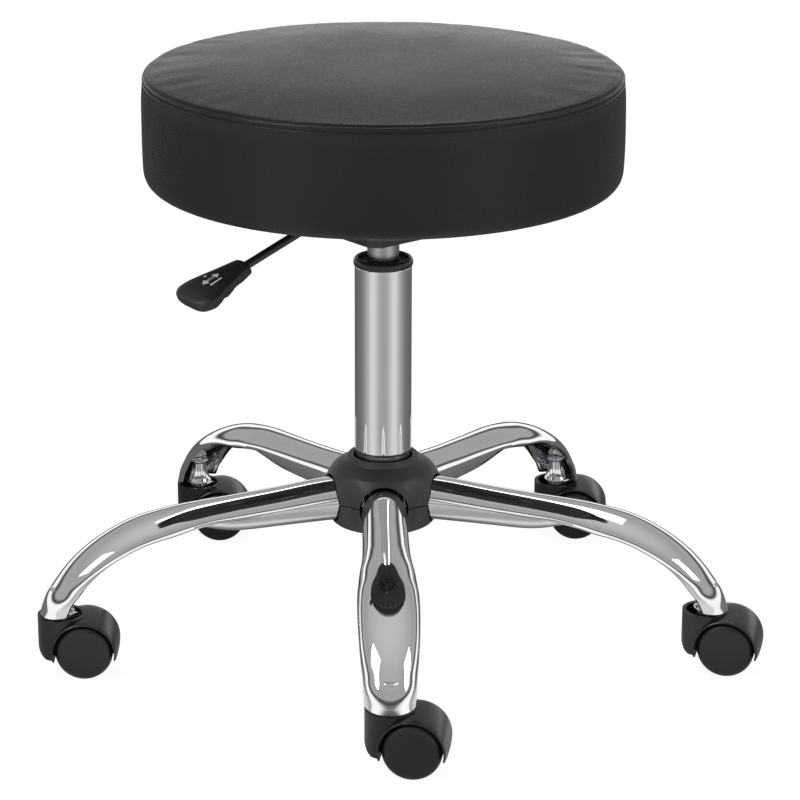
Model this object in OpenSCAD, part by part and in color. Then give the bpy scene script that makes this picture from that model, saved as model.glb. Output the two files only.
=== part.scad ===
/* [Overall] */
// distance from the column axis to each caster stem
stem_circle = 295; // [270:1:320]
// height of the arm tube centre line at the hub
arm_z = 131; // [120:1:145]
// direction of the lever seen from above, degrees from +X
lever_turn = 218; // [200:1:240]

/* [Column] */
// outer radius of the column tube
column_r = 25; // [22:0.5:28]
// height of the column tube's top edge
column_top = 341.5; // [320:0.5:360]
// wall of the column tube
column_wall = 2; // [1.5:0.1:3]
// outer radius of the gas cylinder
cylinder_r = 14; // [12:0.5:16]
// radius of the piston rod
rod_r = 5; // [4:0.5:6]
// clearance of the running fits on the radius
running = 0.05; // [0.02:0.01:0.08]

/* [Hub] */
// outer radius of the hub cover
cover_r = 48; // [44:0.5:52]
// wall of the hub cover
cover_wall = 2.5; // [2:0.1:4]
// radius of the mouths the arms pass through
mouth_r = 21.5; // [20.5:0.1:23]
// outer radius of the steel hub core
core_r = 31.5; // [29:0.5:34]

/* [Arms] */
// radius of the arm tube at the hub
arm_r = 19.7; // [18:0.1:21]
// wall of the arm tube
arm_wall = 2; // [1.5:0.1:3]

/* [Casters] */
// wheel radius
wheel_r = 25; // [22:0.5:30]
// distance the axle sits behind the stem
trail = 20; // [16:0.5:24]
// outer face of a wheel from the caster's middle plane
wheel_out = 23.3; // [20:0.1:26]
// inner face of a wheel from the caster's middle plane
wheel_in = 7.5; // [6:0.1:9]
// radius of the caster axle
axle_r = 3; // [2.5:0.1:4]

/* [Seat] */
// widest radius of the cushion
seat_r = 208.4; // [190:0.2:230]
// height of the top seam
seam_z = 512.8; // [490:0.2:530]
// underside of the seat
seat_z = 417.6; // [410:0.2:425]
// radius of the plywood board
board_r = 193.4; // [180:0.2:205]
// thickness of the plywood board
board_t = 12; // [9:0.5:15]
// half side of the pressed mounting plate's flange
plate_half = 75; // [65:1:85]
// spacing from the middle to each plate bolt
bolt_at = 66; // [55:1:70]

/* [Lever] */
// radius of the lever rod
lever_r = 3.7; // [3:0.1:5]
// slope of the rod below level, degrees
lever_slope = 18.5; // [12:0.5:24]
// length of the grip
grip_len = 68; // [60:1:85]

/* [Hidden] */
$fn = 64;
arm_at = [-90, -18, 54, 126, 198];
// caster headings measured from +X, one per arm
heading = [-9.5, -15.5, -7.5, -1.5, -1.5];
tube_in = column_r - column_wall;
pivot_r = 50;
pivot_z = 399.5;

// ---- base: hub ----
// steel sleeve with a tapered seat for the column; the arms are welded around it
module hub_core() {
  color([0.45, 0.45, 0.46]) difference() {
    translate([0, 0, 110]) cylinder(h = 44, r = core_r);
    translate([0, 0, 98]) cylinder(h = 73, r1 = 22.4, r2 = 24.2);
  }
}

// outline of the moulded cover, upper half and lower half meet at the arm centre line
function cover_out() = [[48, 131], [48.2, 140], [48, 148], [47, 152.5], [44.8, 156.3], [41, 159.5],
  [36.5, 161.8], [33, 163.2], [32, 164.2], [31.6, 166.6], [30.8, 167.6]];
module hub_cover_top() {
  color([0.07, 0.07, 0.075]) difference() {
    rotate_extrude() polygon(concat(cover_out(), [[27, 167.6], [26, 166.8], [26, 158.5], [33, 157.5],
      [40, 155.2], [44, 151.5], [45.5, 147], [45.5, 131]]));
    arm_mouths();
  }
}
module hub_cover_bottom() {
  color([0.07, 0.07, 0.075]) difference() {
    rotate_extrude() polygon([[48, 130.7], [47.6, 122], [46.2, 111], [44.6, 107.2], [42, 106],
      [27, 106], [27, 108.5], [41, 108.5], [43.8, 111.5], [45.2, 122], [45.5, 130.7]]);
    arm_mouths();
  }
}
module arm_mouths() {
  for (a = arm_at) rotate([0, 0, a]) translate([33, 0, arm_z]) rotate([0, 90, 0]) cylinder(h = 30, r = mouth_r);
}

// ---- base: arms ----
// stations along an arm: [r, z of crown, tilt of section, half width, depth to rim, pressed 0..1]
station = [
  [29.0, 150.9, 2, 19.7, 19.7, 0],
  [60.0, 149.9, 2, 19.7, 18.9, 0],
  [100, 146.4, 3, 19.8, 17.0, 0],
  [140, 143.6, 4, 20.2, 15.6, 0.03],
  [165, 142.0, 5, 21.3, 14.6, 0.25],
  [185, 140.4, 8, 23.3, 15.4, 0.75],
  [203, 137.9, 12, 24.6, 16.6, 1],
  [220, 134.4, 17, 25.7, 15.8, 1],
  [237, 128.8, 22, 26.0, 15.0, 1],
  [253, 121.3, 29, 25.8, 14.5, 1],
  [267, 113.0, 36, 25.3, 14.2, 1],
  [280, 103.2, 46, 24.6, 14.4, 1],
  [291, 92.6, 58, 23.7, 15.2, 1],
  [300, 81.6, 72, 22.8, 16.6, 1],
  [308.0, 70.0, 86, 22.0, 17.8, 1],
  [313.6, 55.2, 100, 21.3, 18.6, 1]];
wall = 4.2;
steps = 10;
function shell_point(s, y, d) = [s[0] - sin(s[2]) * d, y, s[1] - cos(s[2]) * d];
function across(k) = 8 + 164 * k / steps;
function ring(s) = let (a = s[3], h = s[4], m = s[5], g = wall * m) concat(
  [shell_point(s, a - g / 2, h + 0.6 * m)],
  [for (k = [0:steps]) shell_point(s, a * cos(across(k)), h * (1 - sin(across(k))))],
  [shell_point(s, g / 2 - a, h + 0.6 * m)],
  [for (k = [steps:-1:0]) shell_point(s, (a - g) * cos(across(k)),
    h + h * sin(across(k)) * (1 - m) - (h - g) * sin(across(k)) * m)]);
around = 2 * steps + 4;
last = len(station) - 1;
module arm_body() {
  points = [for (s = station) each ring(s)];
  sides = [for (i = [0:last - 1], j = [0:around - 1]) let (k = (j + 1) % around)
    each [[i * around + j, i * around + k, (i + 1) * around + k],
      [i * around + j, (i + 1) * around + k, (i + 1) * around + j]]];
  // the hub end is a fan, the open end a strip between outer and inner skins
  hub_end = [for (j = [1:around - 2]) [0, j + 1, j]];
  e = last * around;
  o = function (k) e + 1 + k;
  n = function (k) e + around - 1 - k;
  tip_end = concat([[e, o(0), n(0)]], [[e + steps + 2, n(steps), o(steps)]],
    [for (k = [0:steps - 1]) each [[n(k), o(k), o(k + 1)], [n(k), o(k + 1), n(k + 1)]]]);
  polyhedron(points = points, faces = concat(sides, hub_end, tip_end));
}
module arm(i) {
  color([0.8, 0.8, 0.82]) rotate([0, 0, arm_at[i - 1]]) difference() {
    arm_body();
    // hollow of the round tube
    translate([20, 0, arm_z + 0.4]) rotate([0, 92, 0]) cylinder(h = 110, r1 = 17.6, r2 = 13.8);
    // rolled root that butts on the hub core
    translate([0, 0, 105]) cylinder(h = 52, r = core_r);
  }
}
module arm_1() { arm(1); }
module arm_2() { arm(2); }
module arm_3() { arm(3); }
module arm_4() { arm(4); }
module arm_5() { arm(5); }

// ---- base: caster sockets and stems ----
module at_stem(i) {
  rotate([0, 0, arm_at[i - 1]]) translate([stem_circle, 0, 0]) children();
}
// flared bell with a closed cap, joined to the channel by weld beads
module caster_socket(i) {
  color([0.75, 0.75, 0.77]) at_stem(i) difference() {
    union() {
      rotate_extrude() polygon([[0, 56], [11.5, 56], [11.7, 57], [10.2, 60], [8.8, 64], [7.8, 69],
        [7.2, 74], [6.6, 77.5], [5.2, 79.4], [0, 79.4]]);
      translate([7.5, 0, 69]) sphere(r = 4.2);
      translate([0, 0, 77.6]) sphere(r = 5);
    }
    translate([0, 0, 50]) cylinder(h = 26, r = 5.4);
  }
}
module caster_socket_1() { caster_socket(1); }
module caster_socket_2() { caster_socket(2); }
module caster_socket_3() { caster_socket(3); }
module caster_socket_4() { caster_socket(4); }
module caster_socket_5() { caster_socket(5); }

// turned stem with a shoulder, and the split grip ring in its groove
module caster_stem(i) {
  color([0.6, 0.6, 0.62]) at_stem(i) {
    rotate_extrude() polygon([[0, 30], [4.4, 30], [rod_r, 30.6], [rod_r, 49.5], [8, 49.5], [8, 52],
      [rod_r, 52], [rod_r, 66], [4.2, 66], [4.2, 71], [rod_r, 71], [rod_r, 73], [3.6, 75], [0, 75]]);
    translate([0, 0, 66.3]) difference() {
      cylinder(h = 4.4, r = 5.4);
      translate([0, 0, -1]) cylinder(h = 7, r = 4.4);
      translate([0, -0.8, -1]) cube([8, 1.6, 7]);
    }
  }
}
module caster_stem_1() { caster_stem(1); }
module caster_stem_2() { caster_stem(2); }
module caster_stem_3() { caster_stem(3); }
module caster_stem_4() { caster_stem(4); }
module caster_stem_5() { caster_stem(5); }

// ---- base: gas lift housing ----
module column_tube() {
  color([0.82, 0.82, 0.84]) difference() {
    rotate_extrude() polygon([[0, 98], [22.4, 98], [24.2, 171], [24.6, 172.5], [column_r, 174],
      [column_r, column_top], [0, column_top]]);
    translate([0, 0, 101]) cylinder(h = 73, r1 = 20.5, r2 = 22.3);
    translate([0, 0, 173.9]) cylinder(h = 1.1, r1 = 22.3, r2 = tube_in);
    translate([0, 0, 174.9]) cylinder(h = 200, r = tube_in);
    translate([0, 0, 90]) cylinder(h = 20, r = rod_r + 0.5);
  }
}
module column_collar() {
  color([0.06, 0.06, 0.065]) rotate_extrude() polygon([[25, column_top], [25.5, column_top + 0.8],
    [25.6, column_top + 4.2], [25, column_top + 6.4], [24, column_top + 7.3], [23.2, column_top + 7.3],
    [22.3, column_top + 6.6], [22.3, column_top]]);
}
// plastic sleeve that guides the cylinder, with its grey top washer face
module guide_bush() {
  color([0.35, 0.35, 0.36]) difference() {
    union() {
      translate([0, 0, 262]) cylinder(h = column_top - 262, r = tube_in);
      translate([0, 0, column_top]) cylinder(h = 3.2, r = 22.3);
    }
    translate([0, 0, 250]) cylinder(h = 110, r = cylinder_r + running);
  }
}
// two washers with a ring of balls between them
module thrust_bearing() {
  color([0.55, 0.55, 0.57]) {
    for (z = [101, 104.5]) translate([0, 0, z]) difference() {
      cylinder(h = 1.2, r = 11);
      translate([0, 0, -1]) cylinder(h = 4, r = rod_r + 0.5);
    }
    for (k = [0:7]) rotate([0, 0, 45 * k]) translate([8.2, 0, 103.35]) sphere(r = 1.1, $fn = 32);
  }
}

// ---- piston rod group ----
module piston_rod() {
  color([0.7, 0.7, 0.72]) rotate_extrude() polygon([[0, 91], [4.4, 91], [rod_r, 91.6], [rod_r, 94.4],
    [4, 94.4], [4, 95.8], [rod_r, 95.8], [rod_r, 262], [12.45, 262], [12.45, 274], [0, 274]]);
}
module rubber_bumper() {
  color([0.05, 0.05, 0.05]) translate([0, 0, 105.8]) difference() {
    cylinder(h = 5.9, r = 11);
    translate([0, 0, -1]) cylinder(h = 9, r = rod_r);
  }
}
// spring clip in the rod's groove and the washer above it
module rod_clip() {
  color([0.5, 0.5, 0.52]) {
    translate([0, 0, 94.6]) difference() {
      cylinder(h = 1, r = 8);
      translate([0, 0, -1]) cylinder(h = 3, r = 4.05);
      translate([3, -1.6, -1]) cube([8, 3.2, 3]);
    }
    translate([0, 0, 96]) difference() {
      cylinder(h = 1.9, r = 9.5);
      translate([0, 0, -1]) cylinder(h = 4, r = rod_r);
    }
  }
}

// ---- seat group: gas cylinder and release button ----
module gas_cylinder() {
  color([0.62, 0.62, 0.63]) difference() {
    union() {
      translate([0, 0, 112]) cylinder(h = 264, r = cylinder_r);
      translate([0, 0, 376]) cylinder(h = 16, r1 = cylinder_r, r2 = 13.467);
    }
    translate([0, 0, 124]) cylinder(h = 262, r = 12.5);
    translate([0, 0, 110]) cylinder(h = 20, r = rod_r + running);
    translate([0, 0, 380]) cylinder(h = 20, r = 4 + running);
  }
}
module release_button() {
  color([0.68, 0.68, 0.7]) {
    translate([0, 0, 383.2]) cylinder(h = 15.8, r = 4);
  }
}

// ---- seat group: mounting plate ----
module at_plate() {
  rotate([0, 0, lever_turn]) children();
}
// square pan, narrower at the bottom, with its corners trimmed round
module pan(z, h, r1, r2) {
  translate([0, 0, z]) intersection() {
    rotate([0, 0, 45]) cylinder(h = h, r1 = r1, r2 = r2, $fn = 4);
    cylinder(h = h, r1 = r1 * 0.92, r2 = r2 * 0.92);
  }
}
module seat_plate() {
  color([0.06, 0.06, 0.06]) at_plate() difference() {
    union() {
      intersection() {
        translate([-plate_half, -plate_half, 413.9]) cube([2 * plate_half, 2 * plate_half, 2.5]);
        translate([0, 0, 413]) cylinder(h = 5, r = plate_half * 1.32);
      }
      pan(375, 39, 73, 90.5);
    }
    difference() {
      pan(377.5, 40, 71.2, 89.1);
      // tapered socket standing in the middle of the pan
      translate([0, 0, 370]) cylinder(h = 24, r = 18);
    }
    translate([0, 0, 376]) cylinder(h = 18.01, r1 = cylinder_r, r2 = 13.4);
    translate([0, 0, 370]) cylinder(h = 6.01, r = cylinder_r);
    for (a = [0:3]) rotate([0, 0, 90 * a + 45]) translate([bolt_at * sqrt(2), 0, 410]) cylinder(h = 10, r = 3.3);
    // slot the lever comes out of
    translate([30, -8, 386]) cube([40, 16, 24]);
  }
}
module at_bolts() {
  at_plate() for (a = [0:3]) rotate([0, 0, 90 * a + 45]) translate([bolt_at * sqrt(2), 0, 0]) children();
}
module plate_bolts() {
  color([0.5, 0.5, 0.5]) at_bolts() {
    translate([0, 0, 409.9]) cylinder(h = 4, r = 5.77, $fn = 6);
    translate([0, 0, 413.9]) cylinder(h = 17.7, r = 3);
  }
}
module tee_nuts() {
  color([0.6, 0.6, 0.58]) at_bolts() difference() {
    union() {
      translate([0, 0, 421]) cylinder(h = 9.9, r = 3.9);
      translate([0, 0, 430.8]) cylinder(h = 1.3, r = 9.5);
    }
    translate([0, 0, 410]) cylinder(h = 30, r = 3);
  }
}

// ---- seat group: cushion ----
module seat_board() {
  color([0.72, 0.56, 0.36]) difference() {
    translate([0, 0, seat_z + 1.2]) cylinder(h = board_t, r = board_r);
    at_bolts() translate([0, 0, 410]) cylinder(h = 30, r = 3.9);
  }
}
module seat_foam() {
  color([0.85, 0.8, 0.6]) difference() {
    rotate_extrude() polygon([[0, 430.8], [board_r, 430.8], [board_r, 419.4], [197.4, 419.6],
      [202.4, 423], [205.6, 428.5], [207, 435], [207.2, 460], [207.2, 490], [205.8, 503], [203.8, 508.5],
      [200.8, 512.2], [195.4, 514.8], [180, 517.8], [150, 520], [100, 520.8], [0, 520.8]]);
    at_bolts() translate([0, 0, 420]) cylinder(h = 12.3, r = 9.7);
  }
}
module seat_cover_top() {
  color([0.03, 0.03, 0.03]) rotate_extrude() polygon([[0, 520.8], [100, 520.8], [150, 520],
    [180, 517.8], [195.4, 514.8], [200.8, 512.2], [202.4, 513.2], [196.4, 516.1], [180, 519.1], [150, 521.3],
    [100, 522], [0, 522]]);
}
module seat_cover_band() {
  color([0.03, 0.03, 0.03]) rotate_extrude() polygon([[165, seat_z], [197.4, seat_z], [203.4, 420.6],
    [206.8, 427.2], [seat_r, 435], [seat_r, 460], [seat_r, 490], [207, 503.4], [205, 509.2],
    [202.4, 513.2], [200.8, 512.2], [203.8, 508.5], [205.8, 503], [207.2, 490], [207.2, 460],
    [207, 435], [205.6, 428.5], [202.4, 423], [197.4, 419.6], [board_r, 419.4], [board_r, 418.8], [165, 418.8]]);
}
module dust_cover() {
  color([0.09, 0.09, 0.09]) difference() {
    translate([0, 0, seat_z - 1.2]) cylinder(h = 1.2, r = 186);
    at_bolts() translate([0, 0, 410]) cylinder(h = 30, r = 3.3);
  }
}
module staples() {
  color([0.65, 0.65, 0.66]) for (k = [0:23]) rotate([0, 0, 15 * k + 7]) translate([178, 0, 0]) {
    translate([-0.6, -5.5, seat_z - 1.9]) cube([1.2, 11, 0.7]);
    translate([-0.6, -5.5, seat_z - 1.3]) cube([1.2, 0.7, 8]);
    translate([-0.6, 4.8, seat_z - 1.3]) cube([1.2, 0.7, 8]);
  }
}

// ---- lever ----
// the rod runs from over the button, out through the pan's side and down to the grip
module lever_rod() {
  color([0.03, 0.03, 0.03]) at_plate() {
    union() {
      translate([-4.5, -5, pivot_z]) cube([pivot_r + 4.5, 10, 3]);
      translate([pivot_r, 0, pivot_z + 0.6]) sphere(r = 4.6);
      translate([pivot_r, 0, pivot_z + 0.6]) rotate([0, 90 + lever_slope, 0]) cylinder(h = 130, r = lever_r);
    }
  }
}
// flat paddle that widens to a round end, thicker at the finger side
module lever_grip() {
  color([0.04, 0.04, 0.045]) at_plate() translate([pivot_r, 0, pivot_z + 0.6]) rotate([0, lever_slope, 0])
    difference() {
      intersection() {
        translate([103, 0, -12]) linear_extrude(height = 22) polygon([[0, 9], [2, 11], [50, 21.5], [58, 22],
          [grip_len - 4, 18], [grip_len, 10], [grip_len, -10], [grip_len - 4, -18], [58, -22],
          [50, -21.5], [2, -11], [0, -9]]);
        translate([103, 30, 0]) rotate([90, 0, 0]) linear_extrude(height = 60) polygon([[0, -6], [20, -8],
          [26, -7], [34, -9.6], [41, -8], [49, -10.4], [58, -9.4], [64, -7], [grip_len, -2], [grip_len, 3],
          [64, 6], [50, 8], [8, 8], [0, 6]]);
      }
      rotate([0, 90, 0]) cylinder(h = 130, r = lever_r);
    }
}

// ---- casters ----
module at_caster(i) {
  at_stem(i) rotate([0, 0, heading[i - 1] - arm_at[i - 1]]) children();
}
module around_axle() {
  translate([trail, 0, wheel_r]) rotate([90, 0, 0]) children();
}
// hood: shell over both wheels around a middle web, with an open cup at the stem
module hood_shape() {
  difference() {
    union() {
      around_axle() rotate_extrude() polygon([[0, -23.6], [27.4, -23.6], [28, -22], [28.5, -18],
        [28.9, -12], [29, 0], [28.9, 12], [28.5, 18], [28, 22], [27.4, 23.6], [0, 23.6]]);
      difference() {
        cylinder(h = 54.3, r = 21);
        // open recess under the bell
        translate([0, 0, 46]) cylinder(h = 20, r = 17.5);
        // rounded toe
        difference() {
          translate([-30, -30, -5]) cube([22, 60, 34.5]);
          translate([-8, 0, 29.5]) rotate([90, 0, 0]) cylinder(h = 70, r = 13, center = true);
        }
      }
    }
    // the hood stops above the floor
    translate([-30, -30, -20]) cube([100, 60, 37.5]);
    // room for the wheels on both sides of the web
    for (s = [-1, 1]) translate([trail, s * 17.1, wheel_r]) rotate([90, 0, 0])
      cylinder(h = 20.2, r = 26.6, center = true);
    // clears the stem's shoulder
    translate([0, 0, 49]) cylinder(h = 20, r = 9);
  }
}
module caster_hood(i) {
  color([0.05, 0.05, 0.055]) at_caster(i) difference() {
    hood_shape();
    translate([0, 0, 29.5]) cylinder(h = 40, r = rod_r + running);
    around_axle() cylinder(h = 60, r = axle_r, center = true);
  }
}
module caster_hood_1() { caster_hood(1); }
module caster_hood_2() { caster_hood(2); }
module caster_hood_3() { caster_hood(3); }
module caster_hood_4() { caster_hood(4); }
module caster_hood_5() { caster_hood(5); }

module caster_axle(i) {
  color([0.6, 0.6, 0.62]) at_caster(i) around_axle() cylinder(h = 41, r = axle_r, center = true);
}
module caster_axle_1() { caster_axle(1); }
module caster_axle_2() { caster_axle(2); }
module caster_axle_3() { caster_axle(3); }
module caster_axle_4() { caster_axle(4); }
module caster_axle_5() { caster_axle(5); }

// solid disc face outside, dished inside around its hub
module caster_wheel(i, side) {
  color([0.06, 0.06, 0.06]) at_caster(i) translate([trail, 0, wheel_r]) rotate([side * 90, 0, 0])
    difference() {
      rotate_extrude() polygon([[0, wheel_in], [7, wheel_in], [7, 19.5], [20.5, 19.5], [21.2, 9.6],
        [22, wheel_in + 0.6], [23.6, wheel_in], [24.4, 8.2], [wheel_r, 10], [wheel_r, 19.4], [24.6, 20.9],
        [23.6, 22], [22, 22.6], [12, 23.1], [0, wheel_out]]);
      cylinder(h = 21.5, r = axle_r + running);
    }
}
module caster_wheel_1a() { caster_wheel(1, 1); }
module caster_wheel_1b() { caster_wheel(1, -1); }
module caster_wheel_2a() { caster_wheel(2, 1); }
module caster_wheel_2b() { caster_wheel(2, -1); }
module caster_wheel_3a() { caster_wheel(3, 1); }
module caster_wheel_3b() { caster_wheel(3, -1); }
module caster_wheel_4a() { caster_wheel(4, 1); }
module caster_wheel_4b() { caster_wheel(4, -1); }
module caster_wheel_5a() { caster_wheel(5, 1); }
module caster_wheel_5b() { caster_wheel(5, -1); }

hub_core();
hub_cover_top();
hub_cover_bottom();
arm_1();
arm_2();
arm_3();
arm_4();
arm_5();
caster_socket_1();
caster_socket_2();
caster_socket_3();
caster_socket_4();
caster_socket_5();
caster_stem_1();
caster_stem_2();
caster_stem_3();
caster_stem_4();
caster_stem_5();
column_tube();
column_collar();
guide_bush();
thrust_bearing();
piston_rod();
rubber_bumper();
rod_clip();
gas_cylinder();
seat_plate();
seat_board();
seat_foam();
seat_cover_top();
seat_cover_band();
dust_cover();
plate_bolts();
tee_nuts();
staples();
lever_rod();
lever_grip();
release_button();
caster_hood_1();
caster_hood_2();
caster_hood_3();
caster_hood_4();
caster_hood_5();
caster_axle_1();
caster_axle_2();
caster_axle_3();
caster_axle_4();
caster_axle_5();
caster_wheel_1a();
caster_wheel_1b();
caster_wheel_2a();
caster_wheel_2b();
caster_wheel_3a();
caster_wheel_3b();
caster_wheel_4a();
caster_wheel_4b();
caster_wheel_5a();
caster_wheel_5b();
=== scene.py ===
import bpy
import bmesh
import math
import numpy as np
from mathutils import Matrix, Vector


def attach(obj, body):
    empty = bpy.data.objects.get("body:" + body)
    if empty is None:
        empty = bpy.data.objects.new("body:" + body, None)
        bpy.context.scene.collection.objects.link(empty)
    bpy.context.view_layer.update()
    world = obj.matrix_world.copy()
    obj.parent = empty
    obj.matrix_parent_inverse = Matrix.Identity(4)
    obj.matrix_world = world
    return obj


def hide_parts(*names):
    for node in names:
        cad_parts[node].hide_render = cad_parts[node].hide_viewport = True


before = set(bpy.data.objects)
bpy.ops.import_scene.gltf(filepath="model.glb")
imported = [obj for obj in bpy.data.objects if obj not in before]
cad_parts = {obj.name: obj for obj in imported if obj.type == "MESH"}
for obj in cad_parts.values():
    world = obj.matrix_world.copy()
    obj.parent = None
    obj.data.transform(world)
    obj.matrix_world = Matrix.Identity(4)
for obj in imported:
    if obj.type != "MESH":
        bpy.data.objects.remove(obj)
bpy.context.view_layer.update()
mm = 0.001
print("frame loaded")

# the five arms of the star base, and where each caster points, in degrees from +X
base = {"armTurns": [-90, -18, 54, 126, 198], "casterTurns": [-9.5, -15.5, -7.5, -1.5, -1.5],
        "stemCircle": 295.0, "trail": 20.0, "axleHeight": 25.0}


# a grid of points P[i, j] becomes quads between neighbours, closed round in j and optionally capped by a fan at each end
def gridMesh(points, closeRows=False, capStart=False, capEnd=False):
    rows, cols = points.shape[:2]
    verts = points.reshape(-1, 3)
    i = np.arange(rows if closeRows else rows - 1)[:, None]
    j = np.arange(cols)[None, :]
    a = i * cols + j
    b = i * cols + (j + 1) % cols
    c = ((i + 1) % rows) * cols + (j + 1) % cols
    d = ((i + 1) % rows) * cols + j
    faces = np.stack([a, b, c, d], -1).reshape(-1, 4).tolist()
    extra = []
    if capStart:
        extra.append(points[0].mean(axis=0))
        n = len(verts) + len(extra) - 1
        faces += [[n, (k + 1) % cols, k] for k in range(cols)]
    if capEnd:
        extra.append(points[-1].mean(axis=0))
        n = len(verts) + len(extra) - 1
        o = (rows - 1) * cols
        faces += [[n, o + k, o + (k + 1) % cols] for k in range(cols)]
    if extra:
        verts = np.vstack([verts, np.array(extra)])
    return verts, faces


def joinParts(parts):
    verts, faces, start = [], [], 0
    for v, f in parts:
        verts.append(np.asarray(v, float))
        faces += [[k + start for k in q] for q in f]
        start += len(v)
    return np.vstack(verts), faces


# shades smooth, with sharp edges where the surface turns by more than the angle in degrees
def shadeSmooth(obj, sharp=None):
    obj.data.polygons.foreach_set("use_smooth", np.ones(len(obj.data.polygons), bool))
    if sharp:
        obj.data.set_sharp_from_angle(angle=math.radians(sharp))


# points of a mesh in millimetres
def readPoints(obj):
    co = np.empty(len(obj.data.vertices) * 3)
    obj.data.vertices.foreach_get("co", co)
    return co.reshape(-1, 3) / mm


def writePoints(obj, co):
    obj.data.vertices.foreach_set("co", (co * mm).ravel())


def meshObject(name, part, material=None, smooth=True):
    verts, faces = part
    mesh = bpy.data.meshes.new(name)
    mesh.from_pydata((np.asarray(verts) * mm).tolist(), [], faces)
    mesh.update()
    obj = bpy.data.objects.new(name, mesh)
    if smooth:
        shadeSmooth(obj)
    bpy.context.scene.collection.objects.link(obj)
    if material is not None:
        mesh.materials.append(material)
    return obj


# turn every face outwards after its doubles are merged
def faceOutwards(obj):
    bm = bmesh.new()
    bm.from_mesh(obj.data)
    bmesh.ops.remove_doubles(bm, verts=bm.verts, dist=1e-7)
    bmesh.ops.recalc_face_normals(bm, faces=bm.faces)
    bm.to_mesh(obj.data)
    bm.free()


# rings of points: P(t, a) = (r cos a, r sin a, z)
def rings(r, z, a):
    return np.stack([r * np.cos(a), r * np.sin(a), np.broadcast_to(z, np.broadcast(r, a).shape)], -1)


# surface of revolution: rings of radius r(t) and height z(t)
def revolved(profile, steps=96, capped=False):
    profile = np.asarray(profile, float)
    a = np.arange(steps) * 2 * np.pi / steps
    points = rings(profile[:, 0:1], profile[:, 1:2], a)
    return gridMesh(points, closeRows=not capped, capStart=capped, capEnd=capped)


def turned(points, degrees, shift=(0, 0, 0)):
    a = math.radians(degrees)
    m = np.array([[math.cos(a), -math.sin(a), 0], [math.sin(a), math.cos(a), 0], [0, 0, 1]])
    return np.asarray(points) @ m.T + np.asarray(shift, float)


# keeps a modified copy of the mesh, so that no modifier stays on the piece
def settle(obj):
    bpy.context.view_layer.update()
    shape = obj.evaluated_get(bpy.context.evaluated_depsgraph_get())
    mesh = bpy.data.meshes.new_from_object(shape)
    obj.modifiers.clear()
    old = obj.data
    obj.data = mesh
    bpy.data.meshes.remove(old)


def carve(obj, cutter, how="DIFFERENCE"):
    m = obj.modifiers.new("carve", "BOOLEAN")
    m.operation = how
    m.object = cutter
    m.solver = "EXACT"
    settle(obj)
    bpy.data.objects.remove(cutter)


# rounds the edges that are sharper than the angle, then shades the rest smooth
def softEdges(obj, width, angle=35, segments=2):
    m = obj.modifiers.new("round", "BEVEL")
    m.width = width * mm
    m.segments = segments
    m.limit_method = "ANGLE"
    m.angle_limit = math.radians(angle)
    settle(obj)
    shadeSmooth(obj, 40)


def newGroup(name, inputs, outputs):
    g = bpy.data.node_groups.new(name, "ShaderNodeTree")
    for n, kind, value in inputs:
        s = g.interface.new_socket(name=n, in_out="INPUT", socket_type=kind)
        if value is not None:
            s.default_value = value
    for n, kind in outputs:
        g.interface.new_socket(name=n, in_out="OUTPUT", socket_type=kind)
    return g, g.nodes.new("NodeGroupInput"), g.nodes.new("NodeGroupOutput")


def mathNode(tree, operation, a, b=None):
    n = tree.nodes.new("ShaderNodeMath")
    n.operation = operation
    for k, v in enumerate((a, b)):
        if v is None:
            continue
        if isinstance(v, (int, float)):
            n.inputs[k].default_value = v
        else:
            tree.links.new(v, n.inputs[k])
    return n.outputs[0]


def noiseNode(tree, vector, scale, detail=4.0, rough=0.55):
    n = tree.nodes.new("ShaderNodeTexNoise")
    tree.links.new(vector, n.inputs["Vector"])
    if isinstance(scale, (int, float)):
        n.inputs["Scale"].default_value = scale
    else:
        tree.links.new(scale, n.inputs["Scale"])
    n.inputs["Detail"].default_value = detail
    n.inputs["Roughness"].default_value = rough
    return n.outputs["Fac"]


def rangeNode(tree, value, low, high, toLow=0.0, toHigh=1.0):
    n = tree.nodes.new("ShaderNodeMapRange")
    tree.links.new(value, n.inputs["Value"])
    n.inputs["From Min"].default_value = low
    n.inputs["From Max"].default_value = high
    n.inputs["To Min"].default_value = toLow
    n.inputs["To Max"].default_value = toHigh
    return n.outputs["Result"]


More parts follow.
